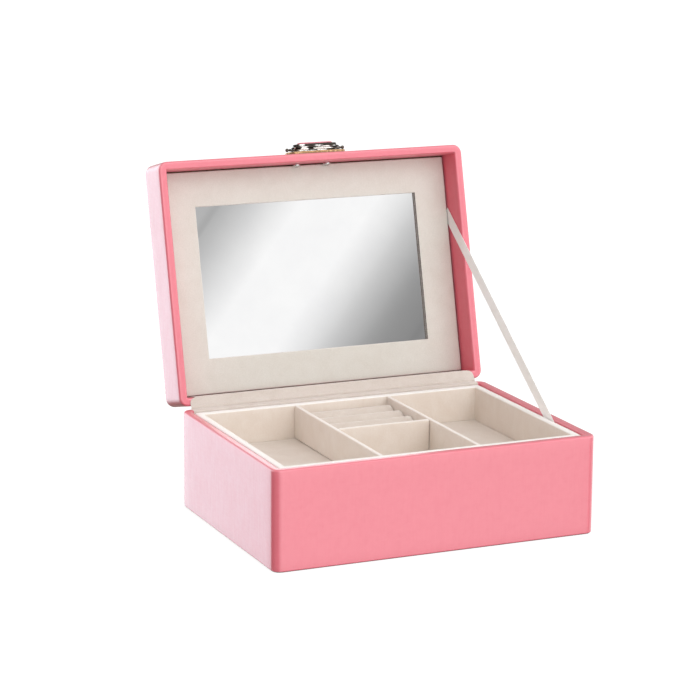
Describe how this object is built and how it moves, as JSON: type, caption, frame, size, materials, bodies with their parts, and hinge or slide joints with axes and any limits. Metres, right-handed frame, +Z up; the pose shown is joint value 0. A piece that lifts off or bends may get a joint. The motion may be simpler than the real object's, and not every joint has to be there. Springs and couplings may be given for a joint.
{
  "type": "jewellery case",
  "caption": "Leather-covered rectangular jewellery case with a hinged mirror lid, a divided lift-out velvet tray with ring rolls, a lower well and a ribbon lid stay.",
  "frame": {"origin": "centre of the underside, on the surface the case stands on", "axes": "+X to the right along the width, +Y to the back where the hinges are, +Z up; the front wall faces -Y"},
  "size_m": [0.26, 0.2708, 0.2686],
  "materials": {
    "pink_leather": "smooth semi-gloss coated leather with a fine grain",
    "velvet": "short-pile flock velvet over card",
    "fibreboard": "raw fibreboard",
    "underside": "matt black backing sheet",
    "mirror": "silvered glass",
    "brass": "polished pale gold plate",
    "chrome": "polished",
    "ribbon": "woven satin ribbon"
  },
  "bodies": {
    "case_body": {"bottom_board": "fibreboard", "body_front_board": "fibreboard", "body_back_board": "fibreboard", "body_left_board": "fibreboard", "body_right_board": "fibreboard", "body_cover": "pink_leather", "underside_sheet": "underside", "well_floor_pad": "velvet", "well_front_liner": "velvet", "well_back_liner": "velvet", "well_left_liner": "velvet", "well_right_liner": "velvet", "left_hinge_lower_leaf": "brass", "left_hinge_pin": "brass", "left_hinge_lower_screw_1": "brass", "left_hinge_lower_screw_2": "brass", "right_hinge_lower_leaf": "brass", "right_hinge_pin": "brass", "right_hinge_lower_screw_1": "brass", "right_hinge_lower_screw_2": "brass", "hinge_strip": "velvet", "ribbon_stay": "ribbon"},
    "tray": {"tray_floor": "velvet", "tray_front_wall": "velvet", "tray_back_wall": "velvet", "tray_left_wall": "velvet", "tray_right_wall": "velvet", "left_divider": "velvet", "right_divider": "velvet", "cross_divider": "velvet", "ring_roll_1": "velvet", "ring_roll_2": "velvet", "ring_roll_3": "velvet", "ring_roll_4": "velvet"},
    "lid": {"lid_top_board": "fibreboard", "lid_front_board": "fibreboard", "lid_back_board": "fibreboard", "lid_left_board": "fibreboard", "lid_right_board": "fibreboard", "lid_cover": "pink_leather", "mirror_panel": "velvet", "mirror_glass": "mirror", "mirror_surround": "fibreboard", "mirror_backing": "fibreboard", "left_hinge_upper_leaf": "brass", "left_hinge_upper_screw_1": "brass", "left_hinge_upper_screw_2": "brass", "right_hinge_upper_leaf": "brass", "right_hinge_upper_screw_1": "brass", "right_hinge_upper_screw_2": "brass", "clasp_plate": "brass", "clasp_body": "chrome", "clasp_insert": "pink_leather", "clasp_left_bead": "chrome", "clasp_right_bead": "chrome", "clasp_left_screw": "chrome", "clasp_right_screw": "chrome"}
  },
  "joints": [
    {"name": "lid_hinge", "type": "hinge", "parent": "case_body", "child": "lid", "pos_m": [0, 0.0959, 0.0771], "axis": [1, 0, 0], "range_deg": [0, 104], "deforming": ["hinge_strip", "ribbon_stay"]},
    {"name": "tray_lift", "type": "slide", "parent": "case_body", "child": "tray", "axis": [0, 0, 1], "range_m": [0, 0.015]}
  ]
}
